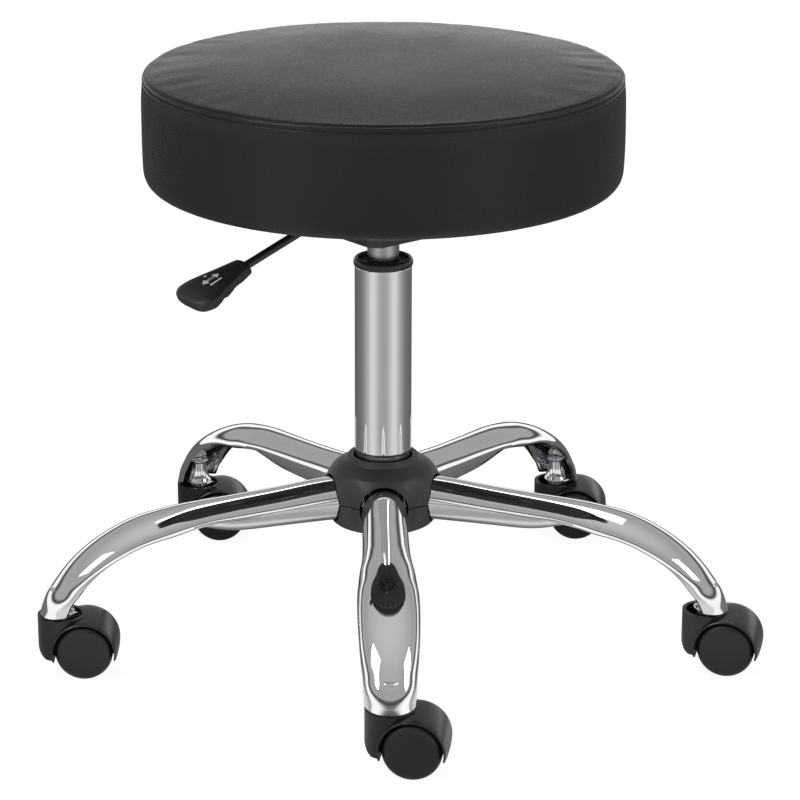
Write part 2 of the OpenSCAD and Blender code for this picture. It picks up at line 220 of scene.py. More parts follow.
# leather grain: rounded pebbles between fine creases, with pores and slow unevenness
def makeGrainGroup():
    g, gi, go = newGroup("leatherGrain", [("Vector", "NodeSocketVector", None), ("Pebble Scale", "NodeSocketFloat", 700.0)],
                         [("Height", "NodeSocketFloat"), ("Crease", "NodeSocketFloat"), ("Patches", "NodeSocketFloat")])
    warp = g.nodes.new("ShaderNodeTexNoise")
    warp.inputs["Scale"].default_value = 160.0
    g.links.new(gi.outputs["Vector"], warp.inputs["Vector"])
    sub = g.nodes.new("ShaderNodeVectorMath")
    sub.operation = "MULTIPLY_ADD"
    g.links.new(warp.outputs["Color"], sub.inputs[0])
    sub.inputs[1].default_value = (0.002, 0.002, 0.002)
    g.links.new(gi.outputs["Vector"], sub.inputs[2])
    cells = g.nodes.new("ShaderNodeTexVoronoi")
    cells.feature = "DISTANCE_TO_EDGE"
    g.links.new(sub.outputs[0], cells.inputs["Vector"])
    g.links.new(gi.outputs["Pebble Scale"], cells.inputs["Scale"])
    dome = rangeNode(g, cells.outputs["Distance"], 0.0, 0.35)
    dome = mathNode(g, "POWER", dome, 0.6)
    fine = noiseNode(g, gi.outputs["Vector"], 2600.0, 2.0)
    slow = noiseNode(g, gi.outputs["Vector"], 22.0, 3.0)
    height = mathNode(g, "ADD", mathNode(g, "MULTIPLY", dome, 0.75), mathNode(g, "MULTIPLY", fine, 0.25))
    g.links.new(height, go.inputs["Height"])
    g.links.new(mathNode(g, "SUBTRACT", 1.0, dome), go.inputs["Crease"])
    g.links.new(slow, go.inputs["Patches"])
    return g


# handling marks: faint smudges and hairlines that change roughness a little
def makeMarksGroup():
    g, gi, go = newGroup("handlingMarks", [("Vector", "NodeSocketVector", None), ("Smudge Scale", "NodeSocketFloat", 30.0)],
                         [("Smudge", "NodeSocketFloat"), ("Hairlines", "NodeSocketFloat"), ("Dust", "NodeSocketFloat")])
    smudge = rangeNode(g, noiseNode(g, gi.outputs["Vector"], gi.outputs["Smudge Scale"], 3.0), 0.42, 0.72)
    g.links.new(smudge, go.inputs["Smudge"])
    stretch = g.nodes.new("ShaderNodeMapping")
    stretch.inputs["Scale"].default_value = (1.0, 1.0, 14.0)
    stretch.inputs["Rotation"].default_value = (0.5, 0.9, 0.3)
    g.links.new(gi.outputs["Vector"], stretch.inputs["Vector"])
    hair = rangeNode(g, noiseNode(g, stretch.outputs[0], 240.0, 2.0), 0.66, 0.7)
    g.links.new(hair, go.inputs["Hairlines"])
    dust = rangeNode(g, noiseNode(g, gi.outputs["Vector"], 420.0, 6.0, 0.7), 0.5, 0.78)
    g.links.new(dust, go.inputs["Dust"])
    return g


# moulded texture: spark-eroded stipple with a slow flow pattern
def makeStippleGroup():
    g, gi, go = newGroup("mouldedStipple", [("Vector", "NodeSocketVector", None), ("Stipple Scale", "NodeSocketFloat", 1500.0)],
                         [("Height", "NodeSocketFloat"), ("Flow", "NodeSocketFloat")])
    fine = noiseNode(g, gi.outputs["Vector"], gi.outputs["Stipple Scale"], 3.0, 0.6)
    g.links.new(fine, go.inputs["Height"])
    g.links.new(noiseNode(g, gi.outputs["Vector"], 45.0, 4.0), go.inputs["Flow"])
    return g


# turning lines: fine rings round the Z axis, from noise stretched round it
def makeTurningGroup():
    g, gi, go = newGroup("turningLines", [("Vector", "NodeSocketVector", None), ("Line Scale", "NodeSocketFloat", 1400.0)],
                         [("Height", "NodeSocketFloat"), ("Streak", "NodeSocketFloat")])
    flat = g.nodes.new("ShaderNodeMapping")
    flat.inputs["Scale"].default_value = (0.03, 0.03, 1.0)
    g.links.new(gi.outputs["Vector"], flat.inputs["Vector"])
    g.links.new(noiseNode(g, flat.outputs[0], gi.outputs["Line Scale"], 3.0), go.inputs["Height"])
    g.links.new(noiseNode(g, flat.outputs[0], 260.0, 2.0), go.inputs["Streak"])
    return g


grain, marks, stipple, turning = makeGrainGroup(), makeMarksGroup(), makeStippleGroup(), makeTurningGroup()


class makeFinish:
    def __init__(self, name):
        self.material = bpy.data.materials.new(name)
        self.material.use_nodes = True
        self.tree = self.material.node_tree
        self.tree.nodes.clear()
        self.shader = self.tree.nodes.new("ShaderNodeBsdfPrincipled")
        out = self.tree.nodes.new("ShaderNodeOutputMaterial")
        self.tree.links.new(self.shader.outputs[0], out.inputs[0])
        self.where = self.tree.nodes.new("ShaderNodeTexCoord").outputs["Object"]

    def put(self, **values):
        for k, v in values.items():
            self.shader.inputs[k.replace("_", " ")].default_value = v

    def group(self, g, **values):
        n = self.tree.nodes.new("ShaderNodeGroup")
        n.node_tree = g
        self.tree.links.new(self.where, n.inputs["Vector"])
        for k, v in values.items():
            n.inputs[k.replace("_", " ")].default_value = v
        return n.outputs

    def ramp(self, value, stops):
        n = self.tree.nodes.new("ShaderNodeValToRGB")
        self.tree.links.new(value, n.inputs[0])
        while len(n.color_ramp.elements) < len(stops):
            n.color_ramp.elements.new(0.5)
        for e, (p, c) in zip(n.color_ramp.elements, stops):
            e.position = p
            e.color = (*c, 1) if len(c) == 3 else c
        return n.outputs["Color"]

    # first mask plus a share of the second
    def blend(self, first, second, share):
        return mathNode(self.tree, "ADD", first, mathNode(self.tree, "MULTIPLY", second, share))

    def rough(self, value):
        self.tree.links.new(value, self.shader.inputs["Roughness"])

    def colour(self, value):
        self.tree.links.new(value, self.shader.inputs["Base Color"])

    def bump(self, height, strength, distance):
        n = self.tree.nodes.new("ShaderNodeBump")
        n.inputs["Strength"].default_value = strength
        n.inputs["Distance"].default_value = distance
        self.tree.links.new(height, n.inputs["Height"])
        self.tree.links.new(n.outputs[0], self.shader.inputs["Normal"])


def blackVinyl():
    f = makeFinish("blackVinyl")
    g = f.group(grain, Pebble_Scale=560.0)
    m = f.group(marks, Smudge_Scale=22.0)
    # vinyl colour: painted shade darkens the grain's creases; the slow patches are tone that differs at random
    tone = f.blend(mathNode(f.tree, "MULTIPLY", g["Crease"], 0.5), g["Patches"], 0.5)
    f.colour(f.ramp(tone, [(0.1, (0.017, 0.017, 0.018)), (0.6, (0.013, 0.013, 0.014)), (1.0, (0.006, 0.006, 0.007))]))
    r = mathNode(f.tree, "MULTIPLY_ADD", g["Crease"], 0.12)
    r.node.inputs[2].default_value = 0.235
    f.rough(f.blend(r, m["Smudge"], 0.045))
    f.put(IOR=1.3, Specular_IOR_Level=0.5)
    f.bump(g["Height"], 0.26, 0.0002)
    return f.material


def polishedChrome(name, tint=(0.80, 0.81, 0.82), low=0.035, high=0.10):
    f = makeFinish(name)
    m = f.group(marks, Smudge_Scale=24.0)
    f.colour(f.ramp(m["Smudge"], [(0.0, tint), (1.0, tuple(c * 0.965 for c in tint))]))
    f.rough(rangeNode(f.tree, f.blend(m["Smudge"], m["Hairlines"], 0.4), 0.0, 1.4, low, high))
    f.put(Metallic=1.0)
    f.bump(m["Hairlines"], 0.03, 0.00005)
    return f.material


def brushedSteel(name, tint=(0.52, 0.52, 0.53), low=0.22, high=0.38):
    f = makeFinish(name)
    t = f.group(turning, Line_Scale=1600.0)
    m = f.group(marks, Smudge_Scale=40.0)
    f.colour(f.ramp(t["Streak"], [(0.3, tuple(c * 0.86 for c in tint)), (0.7, tint)]))
    f.rough(rangeNode(f.tree, f.blend(t["Height"], m["Smudge"], 0.3), 0.3, 0.9, low, high))
    f.put(Metallic=1.0)
    f.bump(t["Height"], 0.12, 0.0001)
    return f.material


def mouldedPlastic(name, tint=(0.022, 0.022, 0.024), low=0.38, high=0.5, scale=1500.0, strength=0.2):
    f = makeFinish(name)
    s = f.group(stipple, Stipple_Scale=scale)
    m = f.group(marks, Smudge_Scale=32.0)
    f.colour(f.ramp(f.blend(mathNode(f.tree, "MULTIPLY", s["Flow"], 0.7), m["Dust"], 0.3),
                    [(0.2, tuple(c * 0.85 for c in tint)), (0.9, tuple(c * 1.3 for c in tint))]))
    f.rough(rangeNode(f.tree, f.blend(s["Flow"], m["Smudge"], 0.4), 0.3, 1.1, low, high))
    f.put(Specular_IOR_Level=0.5)
    f.bump(s["Height"], strength, 0.00012)
    return f.material


def blackPaint(name="blackPaint"):
    f = makeFinish(name)
    s = f.group(stipple, Stipple_Scale=420.0)
    m = f.group(marks, Smudge_Scale=20.0)
    f.colour(f.ramp(m["Dust"], [(0.0, (0.012, 0.012, 0.013)), (1.0, (0.022, 0.022, 0.023))]))
    f.rough(rangeNode(f.tree, mathNode(f.tree, "ADD", s["Flow"], m["Smudge"]), 0.3, 1.6, 0.28, 0.46))
    f.put(Coat_Roughness=0.3, Coat_Weight=0.15)
    f.bump(s["Height"], 0.15, 0.0003)
    return f.material


def plywood():
    f = makeFinish("plywood")
    layers = f.tree.nodes.new("ShaderNodeMapping")
    layers.inputs["Scale"].default_value = (1.0, 9.0, 60.0)
    f.tree.links.new(f.where, layers.inputs["Vector"])
    n = noiseNode(f.tree, layers.outputs[0], 9.0, 6.0)
    f.colour(f.ramp(n, [(0.3, (0.36, 0.23, 0.12)), (0.7, (0.62, 0.45, 0.27))]))
    f.rough(rangeNode(f.tree, n, 0.2, 0.8, 0.6, 0.8))
    f.bump(n, 0.3, 0.0005)
    return f.material


def dustCloth():
    f = makeFinish("dustCloth")
    fibres = noiseNode(f.tree, f.where, 900.0, 5.0, 0.75)
    spots = f.tree.nodes.new("ShaderNodeTexVoronoi")
    spots.inputs["Scale"].default_value = 480.0
    f.tree.links.new(f.where, spots.inputs["Vector"])
    bond = rangeNode(f.tree, spots.outputs["Distance"], 0.15, 0.4)
    f.colour(f.ramp(fibres, [(0.3, (0.012, 0.012, 0.012)), (0.75, (0.035, 0.035, 0.036))]))
    f.rough(rangeNode(f.tree, bond, 0.0, 1.0, 0.6, 0.9))
    f.bump(mathNode(f.tree, "ADD", fibres, bond), 0.5, 0.0003)
    return f.material


def rubberFoam():
    f = makeFinish("openFoam")
    n = noiseNode(f.tree, f.where, 1200.0, 6.0, 0.8)
    f.colour(f.ramp(n, [(0.3, (0.5, 0.42, 0.2)), (0.7, (0.78, 0.7, 0.45))]))
    f.rough(rangeNode(f.tree, n, 0.0, 1.0, 0.8, 0.95))
    f.bump(n, 0.6, 0.0006)
    return f.material


def threadFinish():
    f = makeFinish("blackThread")
    twist = f.tree.nodes.new("ShaderNodeTexWave")
    twist.inputs["Scale"].default_value = 900.0
    twist.inputs["Distortion"].default_value = 2.0
    f.tree.links.new(f.where, twist.inputs["Vector"])
    f.colour(f.ramp(twist.outputs["Fac"], [(0.0, (0.004, 0.004, 0.004)), (1.0, (0.012, 0.012, 0.013))]))
    f.rough(rangeNode(f.tree, twist.outputs["Fac"], 0.0, 1.0, 0.5, 0.62))
    f.bump(twist.outputs["Fac"], 0.4, 0.0001)
    return f.material


def whitePrint():
    f = makeFinish("whitePrint")
    wear = noiseNode(f.tree, f.where, 900.0, 4.0, 0.7)
    f.colour(f.ramp(wear, [(0.30, (0.16, 0.16, 0.16)), (0.42, (0.62, 0.62, 0.61)), (0.8, (0.74, 0.74, 0.73))]))
    f.rough(rangeNode(f.tree, wear, 0.2, 0.8, 0.6, 0.42))
    f.bump(wear, 0.2, 0.00008)
    return f.material


finishes = {"vinyl": blackVinyl(), "thread": threadFinish(),
            "armChrome": polishedChrome("armChrome"),
            "columnChrome": polishedChrome("columnChrome", (0.80, 0.81, 0.82), 0.03, 0.075),
            "socketChrome": polishedChrome("socketChrome", (0.72, 0.72, 0.73), 0.08, 0.2),
            "cylinderSteel": brushedSteel("cylinderSteel", (0.50, 0.50, 0.51), 0.2, 0.34),
            "plainSteel": brushedSteel("plainSteel", (0.55, 0.55, 0.56), 0.25, 0.4),
            "zinc": brushedSteel("zincPlate", (0.62, 0.61, 0.57), 0.3, 0.45),
            "hubPlastic": mouldedPlastic("hubPlastic", (0.026, 0.026, 0.028), 0.42, 0.55, 1300.0, 0.3),
            "hoodPlastic": mouldedPlastic("hoodPlastic", (0.009, 0.009, 0.010), 0.24, 0.36, 1900.0, 0.06),
            "wheelPlastic": mouldedPlastic("wheelPlastic", (0.008, 0.008, 0.009), 0.34, 0.46, 1700.0, 0.12),
            "collarPlastic": mouldedPlastic("collarPlastic", (0.012, 0.012, 0.013), 0.3, 0.4, 1700.0, 0.1),
            "bushPlastic": mouldedPlastic("bushPlastic", (0.22, 0.22, 0.23), 0.3, 0.42, 1500.0, 0.1),
            "gripPlastic": mouldedPlastic("gripPlastic", (0.012, 0.012, 0.013), 0.42, 0.54, 1400.0, 0.25),
            "print": whitePrint(),
            "rubber": mouldedPlastic("bumperRubber", (0.02, 0.02, 0.02), 0.6, 0.75, 900.0, 0.3),
            "blackPaint": blackPaint(), "corePaint": blackPaint("corePaint"),
            "board": plywood(), "dust": dustCloth(), "foam": rubberFoam()}
print("finishes made")

# CAD nodes that keep their shape get a finish of their own
nodeFinishes = {"hub_core": "corePaint", "guide_bush": "bushPlastic", "thrust_bearing": "plainSteel", "rod_clip": "plainSteel",
                "rubber_bumper": "rubber", "piston_rod": "plainSteel", "release_button": "plainSteel", "seat_board": "board",
                "seat_foam": "foam", "dust_cover": "dust", "plate_bolts": "zinc", "tee_nuts": "zinc", "staples": "zinc",
                "seat_plate": "blackPaint", "column_collar": "collarPlastic", "column_tube": "columnChrome",
                "gas_cylinder": "cylinderSteel", "hub_cover_top": "hubPlastic", "hub_cover_bottom": "hubPlastic",
                "lever_rod": "blackPaint", "lever_grip": "gripPlastic", "seat_cover_top": "vinyl", "seat_cover_band": "vinyl"}
for k in range(1, 6):
    nodeFinishes.update({f"arm_{k}": "armChrome", f"caster_socket_{k}": "socketChrome", f"caster_stem_{k}": "plainSteel",
                         f"caster_hood_{k}": "hoodPlastic", f"caster_axle_{k}": "plainSteel",
                         f"caster_wheel_{k}a": "wheelPlastic", f"caster_wheel_{k}b": "wheelPlastic"})
for nodeName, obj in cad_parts.items():
    obj.data.materials.clear()
    obj.data.materials.append(finishes[nodeFinishes[nodeName]])
print("frame nodes finished")

# stations along the arm: distance out, height of crown, tilt of section, half width, depth to rim, how far pressed
arm = {"stations": [[29, 150.9, 2, 19.7, 19.7, 0], [60, 149.9, 2, 19.7, 18.9, 0], [100, 146.4, 3, 19.8, 17.0, 0],
                    [140, 143.6, 4, 20.2, 15.6, 0.03], [165, 142.0, 5, 21.3, 14.6, 0.25], [185, 140.4, 8, 23.3, 15.4, 0.75],
                    [203, 137.9, 12, 24.6, 16.6, 1], [220, 134.4, 17, 25.7, 15.8, 1], [237, 128.8, 22, 26.0, 15.0, 1],
                    [253, 121.3, 29, 25.8, 14.5, 1], [267, 113.0, 36, 25.3, 14.2, 1], [280, 103.2, 46, 24.6, 14.4, 1],
                    [291, 92.6, 58, 23.7, 15.2, 1], [300, 81.6, 72, 22.8, 16.6, 1], [308, 70.0, 86, 22.0, 17.8, 1],
                    [313.6, 55.2, 100, 21.3, 18.6, 1]],
       "doubleWall": 4.2, "rings": 96, "halfRing": 24}


# smooth curve through table rows by Catmull-Rom, sampled evenly in the row index
def smoothRows(rows, count):
    p = np.asarray(rows, float)
    p = np.vstack([2 * p[0] - p[1], p, 2 * p[-1] - p[-2]])
    t = np.linspace(0, len(rows) - 1 - 1e-9, count)
    i = t.astype(int)
    f = (t - i)[:, None]
    a, b, c, d = p[i], p[i + 1], p[i + 2], p[i + 3]
    return 0.5 * (2 * b + (c - a) * f + (2 * a - 5 * b + 4 * c - d) * f ** 2 + (3 * b - a - 3 * c + d) * f ** 3)


# section point: y across, d down from the crown along the tilted section; the lower half of the tube
# moves up inside the upper half as the press value m goes from 0 to 1
def armSurface(values):
    s = smoothRows(values["stations"], values["rings"])
    h = values["halfRing"]
    q = np.linspace(math.radians(4), math.radians(176), h + 1)
    a, depth, m = s[:, 3:4], s[:, 4:5], np.clip(s[:, 5:6], 0, 1)
    g = values["doubleWall"] * m
    outerY, outerD = a * np.cos(q), depth * (1 - np.sin(q))
    innerY = (a - g) * np.cos(q[::-1])
    innerD = depth + depth * np.sin(q[::-1]) * (1 - m) - (depth - g) * np.sin(q[::-1]) * m
    rimD = depth + 0.9 * m
    y = np.hstack([a - g / 2, outerY, g / 2 - a, innerY])
    d = np.hstack([rimD, outerD, rimD, innerD])
    tilt = np.radians(s[:, 2:3])
    return np.stack([s[:, 0:1] - np.sin(tilt) * d, y, s[:, 1:2] - np.cos(tilt) * d], -1)


def makeArms():
    points = armSurface(arm)
    for k, turn in enumerate(base["armTurns"], 1):
        placed = turned(points.reshape(-1, 3), turn).reshape(points.shape)
        verts, faces = gridMesh(placed, capStart=True, capEnd=False)
        # strip that closes the open end between the outer and inner skins
        n, cols = len(points), points.shape[1]
        o, h = (n - 1) * cols, arm["halfRing"]
        outer = [o + 1 + i for i in range(h + 1)]
        inner = [o + cols - 1 - i for i in range(h + 1)]
        faces += [[outer[i + 1], outer[i], inner[i], inner[i + 1]][::-1] for i in range(h)]
        faces += [[o, inner[0], outer[0]][::-1], [o + h + 2, outer[-1], inner[-1]][::-1]]
        piece = meshObject(f"arm{k}Pressed", (verts, faces), finishes["armChrome"])
        faceOutwards(piece)
        shadeSmooth(piece, 50)
        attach(piece, "base")
        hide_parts(f"arm_{k}")


makeArms()
print("arms made")


# a solid of revolution about the wheel's axle: a profile of radius and place along the axle
def aboutAxle(profile, steps=96, capped=True):
    verts, faces = revolved(profile, steps, capped)
    verts = np.asarray(verts)
    return np.stack([verts[:, 0], -verts[:, 2], verts[:, 1]], -1), faces


# a flat outline in X and Z carried along Y from y0 to y1, closed at both ends
def slab(outline, y0, y1):
    p = np.asarray(outline, float)
    n = len(p)
    verts = np.vstack([np.stack([p[:, 0], np.full(n, y), p[:, 1]], -1) for y in (y0, y1)])
    faces = [[k, (k + 1) % n, n + (k + 1) % n, n + k] for k in range(n)] + [list(range(n))[::-1], list(range(n, 2 * n))]
    return verts, faces


def shifted(part, x=0.0, y=0.0, z=0.0):
    return np.asarray(part[0]) + np.array([x, y, z]), part[1]


def solid(name, part):
    obj = meshObject(name, part, None, False)
    faceOutwards(obj)
    return obj


def declare(obj, body, replaced):
    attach(obj, body)
    for node in replaced:
        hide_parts(node)


# copies a template mesh into place: turned about Z, then moved, both in its vertices
def placedCopy(template, name, degrees, shift, material, body, replaced):
    mesh = template.data.copy()
    turn = Matrix.Translation(Vector(shift) * mm) @ Matrix.Rotation(math.radians(degrees), 4, "Z")
    mesh.transform(turn)
    obj = bpy.data.objects.new(name, mesh)
    bpy.context.scene.collection.objects.link(obj)
    mesh.materials.clear()
    mesh.materials.append(material)
    declare(obj, body, replaced)
    return obj


def finishPiece(obj, material, body, replaced, sharp=None):
    obj.data.materials.clear()
    obj.data.materials.append(material)
    shadeSmooth(obj, sharp)
    declare(obj, body, replaced)
    return obj


# rounds the corners of an open or closed outline: each listed corner becomes an arc-like run of points
def filleted(points, reach, steps=4, closed=True):
    p = np.asarray(points, float)
    out = []
    n = len(p)
    for k in range(n):
        if not closed and k in (0, n - 1):
            out.append(p[k][None])
            continue
        before, here, after = p[k - 1], p[k], p[(k + 1) % n]
        da, db = before - here, after - here
        la, lb = np.linalg.norm(da), np.linalg.norm(db)
        ra, rb = min(reach, la * 0.45), min(reach, lb * 0.45)
        a, b = here + da / la * ra, here + db / lb * rb
        t = np.linspace(0, 1, steps + 1)[:, None]
        out.append((1 - t) ** 2 * a + 2 * t * (1 - t) * here + t ** 2 * b)
    return np.vstack(out)


# the padded seat: a crowned top panel sewn to a band, as a profile of radius and height carried round the axis
cushion = {"profile": [[0.8, 522], [60, 521.85], [100, 521.5], [130, 520.9], [150, 520.2], [168, 519.2], [182, 518.0], [193.4, 516.2],
                       [198.9, 514.9], [202.8, 512.8], [205.2, 509.4], [206.9, 504], [208, 496], [208.4, 486], [208.6, 465],
                       [208.4, 446], [207.9, 436.5], [206.3, 428.4], [202.8, 422], [197.7, 418.5], [191.4, 417.7], [178, 417.6],
                       [165.5, 417.6]],
           "inside": [[165, 418.2], [165.5, 418.75], [180, 418.75], [193, 418.75], [193.3, 419.1], [193.3, 425], [193.3, 430.5],
                      [192.9, 430.7], [150, 430.7], [90, 430.7], [30, 430.7], [1, 430.7]],
           "columns": 384, "seamRadius": 202.8, "startCrown": 4.0, "startSide": 1.6, "voxel": 6.0, "pressure": 4.0,
           "frames": 20, "moveCap": 5.0, "grooveDepth": 1.4, "weltRise": 0.75, "stitchDrop": 5.8, "stitchPitch": 4.6,
           "stitchLength": 3.3, "threadRadius": 0.36, "stitchRing": 205.3, "relaxSteps": 18}


# rows of the outer profile: a smooth curve through the table, sampled finely near the seam
def cushionRows():
    dense = smoothRows(cushion["profile"], 3000)
    arc = np.concatenate([[0], np.cumsum(np.linalg.norm(np.diff(dense, axis=0), axis=1))])
    seam = arc[np.argmin(np.abs(dense[:, 0] - cushion["seamRadius"]) + 1000 * (dense[:, 1] < 500))]
    end = arc[-1]
    places = (0, seam - 26, seam - 4, seam + 9, seam + 26, end - 62, end)
    at = [np.linspace(a, b, count)[:-1] for a, b, count in zip(places, places[1:], (58, 18, 40, 14, 20, 26))]
    at = np.concatenate(at + [[end]])
    rows = np.stack([np.interp(at, arc, dense[:, k]) for k in (0, 1)], -1)
    slope = np.stack([np.gradient(np.interp(at, arc, dense[:, k]), at) for k in (0, 1)], -1)
    slope /= np.linalg.norm(slope, axis=1)[:, None]
    return rows, np.stack([-slope[:, 1], slope[:, 0]], -1), at - seam


# swells a slightly smaller closed form with cloth pressure; the seam and the hem are held
def swollenForm():
    dense = smoothRows(cushion["profile"], 160)
    start = dense.copy()
    inner = np.clip(1 - (dense[:, 0] / cushion["seamRadius"]) ** 4, 0, 1) * (dense[:, 1] > 500)
    start[:, 1] -= cushion["startCrown"] * inner
    side = np.clip((dense[:, 0] - 203.4) / 5, 0, 1) * (dense[:, 1] < 511)
    start[:, 0] -= cushion["startSide"] * side
    outline = np.vstack([start, [[60, 417.6], [1, 417.6]]])
    form = solid("swollenForm", revolved(outline, 144, True))
    m = form.modifiers.new("remesh", "REMESH")
    m.mode = "VOXEL"
    m.voxel_size = cushion["voxel"] * mm
    settle(form)
    co = readPoints(form)
    radius = np.hypot(co[:, 0], co[:, 1])
    held = ((radius > 196.4) & (co[:, 2] > 507)) | (co[:, 2] < 424)
    group = form.vertex_groups.new(name="held")
    group.add(np.nonzero(held)[0].tolist(), 1.0, "REPLACE")
    cloth = form.modifiers.new("cloth", "CLOTH")
    cloth.settings.quality = 6
    cloth.settings.mass = 0.3
    cloth.settings.tension_stiffness = 18
    cloth.settings.compression_stiffness = 18
    cloth.settings.bending_stiffness = 1.5
    cloth.settings.use_pressure = True
    cloth.settings.uniform_pressure_force = cushion["pressure"]
    cloth.settings.vertex_group_mass = "held"
    cloth.settings.effector_weights.gravity = 0
    cloth.point_cache.frame_start = 1
    cloth.point_cache.frame_end = cushion["frames"]
    for frameNumber in range(1, cushion["frames"] + 1):
        bpy.context.scene.frame_set(frameNumber)
    settle(form)
    move = readPoints(form) - co
    size = np.linalg.norm(move, axis=1)[:, None] + 1e-9
    move *= cushion["moveCap"] * np.tanh(size / cushion["moveCap"]) / size
    writePoints(form, co + move)
    bpy.context.scene.frame_set(1)
    print("cloth moved, mean and most in mm:", round(float(size.mean()), 2), round(float(size.max()), 2))
    return form


# slow waves round the seat: a sum of sines of the angle with fixed phases
def waves(angle, counts, phases):
    return sum(np.sin(c * angle + p) for c, p in zip(counts, phases)) / len(counts)


def makeCushion():
    rows, normals, s = cushionRows()
    n = cushion["columns"]
    angle = np.arange(n) * 2 * np.pi / n
    inside = np.asarray(cushion["inside"], float)
    profile = np.vstack([rows, inside])
    count = len(rows)
    verts, faces = gridMesh(rings(profile[:, 0:1], profile[:, 1:2], angle), capStart=True, capEnd=True)
    piece = meshObject("seatCushion", (verts, faces))
    form = swollenForm()
    follow = piece.vertex_groups.new(name="follow")
    weight = np.clip((rows[:, 1] - 424) / 12, 0, 1) * np.clip(np.abs(s) / 10, 0, 1)
    for k in range(count):
        if weight[k] > 0:
            follow.add(list(range(k * n, (k + 1) * n)), float(weight[k]), "REPLACE")
    follow.add([len(profile) * n], 1.0, "REPLACE")
    wrap = piece.modifiers.new("wrap", "SHRINKWRAP")
    wrap.target = form
    wrap.wrap_method = "NEAREST_SURFACEPOINT"
    wrap.vertex_group = "follow"
    relax = piece.modifiers.new("relax", "SMOOTH")
    relax.iterations = cushion["relaxSteps"]
    relax.factor = 0.5
    relax.vertex_group = "follow"
    settle(piece)
    bpy.data.objects.remove(form)
    co = readPoints(piece)
    grid = co[:count * n].reshape(count, n, 3)
    # lift along the profile's normal: sewn groove, welt between the lines, stitch groove, gathers and soft folds
    d = s[:, None]
    gather = waves(angle, (127, 173, 91, 211), (0.4, 2.2, 4.0, 5.1))[None, :]
    folds = waves(angle + 0.05 * np.sin(5 * angle), (23, 37, 14, 9), (1.1, 3.0, 0.2, 2.6))[None, :]
    slow = waves(angle, (3, 5, 8), (0.6, 1.9, 4.4))[None, :]
    lift = -cushion["grooveDepth"] * np.exp(-(d / 0.9) ** 2)
    lift = lift + cushion["weltRise"] * np.clip(np.sin(np.pi * np.clip((d - 0.6) / (cushion["stitchDrop"] - 0.9), 0, 1)), 0, 1) ** 0.7
    lift = lift - 0.75 * np.exp(-((d - cushion["stitchDrop"]) / 0.9) ** 2)
    lift = lift + 0.35 * np.exp(-((d + 1.8) / 1.6) ** 2)
    lift = lift + gather * (0.30 * np.exp(-((d - cushion["stitchDrop"] - 2.5) / 4.5) ** 2) + 0.22 * np.exp(-((d + 4) / 5) ** 2))
    lift = lift + folds * (0.55 * np.exp(-((d - 22) / 22) ** 2) + 0.45 * np.exp(-((d + 24) / 20) ** 2))
    lift = lift + slow * 0.5 * np.exp(-((d - 45) / 40) ** 2) * (rows[:, 1:2] > 424)
    lift = lift * (np.clip((rows[:, 1:2] - 418.5) / 8, 0, 1))
    grid += rings(normals[:, 0:1] * lift, normals[:, 1:2] * lift, angle)
    co[:count * n] = grid.reshape(-1, 3)
    writePoints(piece, co)
    faceOutwards(piece)
    finishPiece(piece, finishes["vinyl"], "seat", ["seat_foam", "seat_cover_top", "seat_cover_band"])
    makeStitches(grid, s, angle)
    return piece


# a stitch is a short bowed rod whose ends dip into the cover; all of them are one array
def makeStitches(grid, s, angle):
    row = int(np.argmin(np.abs(s - cushion["stitchDrop"])))
    ring = grid[row]
    number = int(round(2 * np.pi * cushion["stitchRing"] / cushion["stitchPitch"]))
    at = (np.arange(number) + 0.5) * 2 * np.pi / number
    wrapAngle = np.concatenate([angle, [2 * np.pi]])
    radius = np.interp(at, wrapAngle, np.append(np.hypot(ring[:, 0], ring[:, 1]), math.hypot(ring[0, 0], ring[0, 1])))
    height = np.interp(at, wrapAngle, np.append(ring[:, 2], ring[0, 2]))
    t = np.linspace(-1, 1, 7)
    q = np.arange(6) * np.pi / 3
    swing = at[:, None] + t[None, :] * cushion["stitchLength"] / 2 / cushion["stitchRing"]
    thick = cushion["threadRadius"] * np.sqrt(np.clip(1 - 0.75 * t ** 4, 0.02, 1))
    out = 0.30 - 0.62 * t ** 4
    r = radius[:, None, None] + out[None, :, None] + thick[None, :, None] * np.cos(q)[None, None, :]
    z = height[:, None, None] + 0.25 * out[None, :, None] + thick[None, :, None] * np.sin(q)[None, None, :]
    points = rings(r, z, swing[:, :, None])
    parts = [gridMesh(p, capStart=True, capEnd=True) for p in points]
    stitches = meshObject("seatTopstitch", joinParts(parts))
    faceOutwards(stitches)
    finishPiece(stitches, finishes["thread"], "seat", [])


makeCushion()
print("cushion made")

# hub: a two-part moulded shell turned about the axis, with round mouths for the five arms
hub = {"top": [[48.3, 131.25], [48.4, 140], [48.1, 147.6], [47, 152.6], [44.8, 156.4], [41, 159.6], [36.8, 161.8], [33.4, 163.2],
               [32.2, 164.2], [31.8, 166.4], [30.9, 167.7], [27.2, 167.8], [26.1, 166.9], [26, 158.5], [33, 157.5], [40, 155.2],
               [44, 151.5], [45.4, 147], [45.5, 131.25]],
       "bottom": [[48.3, 130.75], [47.9, 122], [46.8, 112.5], [45.4, 108.4], [43.2, 106.3], [40.5, 106], [27.5, 106], [27, 106.6],
                  [27, 108.2], [41, 108.5], [43.8, 111.5], [45.2, 122], [45.5, 130.75]],
       "mouthRadius": 21.5, "armHeight": 131.0, "swell": 4.6, "bellWidth": 0.56, "bellHeight": 19, "edge": 0.7}


